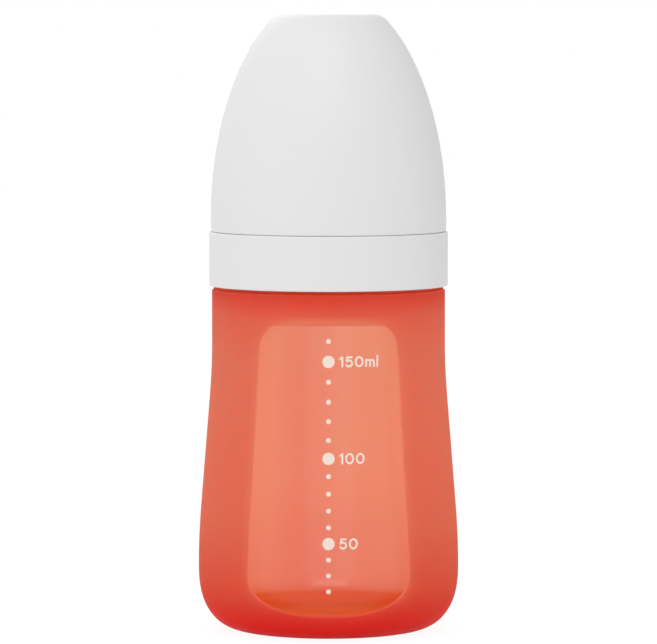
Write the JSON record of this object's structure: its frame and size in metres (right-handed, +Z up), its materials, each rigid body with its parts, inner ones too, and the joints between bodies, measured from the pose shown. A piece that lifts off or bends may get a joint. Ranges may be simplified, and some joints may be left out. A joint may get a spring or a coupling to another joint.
{
  "type": "baby bottle",
  "caption": "Wide-neck glass baby bottle in a coral silicone sleeve with a window, with a screw collar, teat, sealing disc and push-on dome cap.",
  "frame": {"origin": "centre of the base, on the surface that the bottle stands on", "axes": "+Z up along the bottle's axis, from base to cap; -Y points out of the window in the sleeve"},
  "size_m": [0.065, 0.0634, 0.1536],
  "materials": {
    "sleeve_silicone": "satin",
    "bottle_glass": "clear",
    "disc_plastic": "matte",
    "teat_silicone": "satin",
    "collar_plastic": "satin",
    "cap_plastic": "satin"
  },
  "bodies": {
    "bottle": {"bottle": "bottle_glass", "sleeve": "sleeve_silicone"},
    "sealing_disc": {"sealing_disc": "disc_plastic"},
    "teat": {"teat": "teat_silicone"},
    "collar": {"collar": "collar_plastic"},
    "cap": {"cap": "cap_plastic"}
  },
  "joints": [
    {"name": "disc_lift", "type": "slide", "parent": "bottle", "child": "sealing_disc", "axis": [0, 0, 1], "range_m": [0, 0.04]},
    {"name": "collar_rise", "type": "slide", "parent": "sealing_disc", "child": "teat", "axis": [0, 0, 1], "range_m": [0, 0.00676]},
    {"name": "collar_turn", "type": "hinge", "parent": "teat", "child": "collar", "pos_m": [0, 0, 0.1], "axis": [0, 0, 1], "range_deg": [0, 540]},
    {"name": "cap_lift", "type": "slide", "parent": "collar", "child": "cap", "axis": [0, 0, 1], "range_m": [0, 0.06]}
  ],
  "couplings": [
    {"joint": "collar_rise", "follows": "collar_turn", "m_per_rad": 0.0007162}
  ]
}
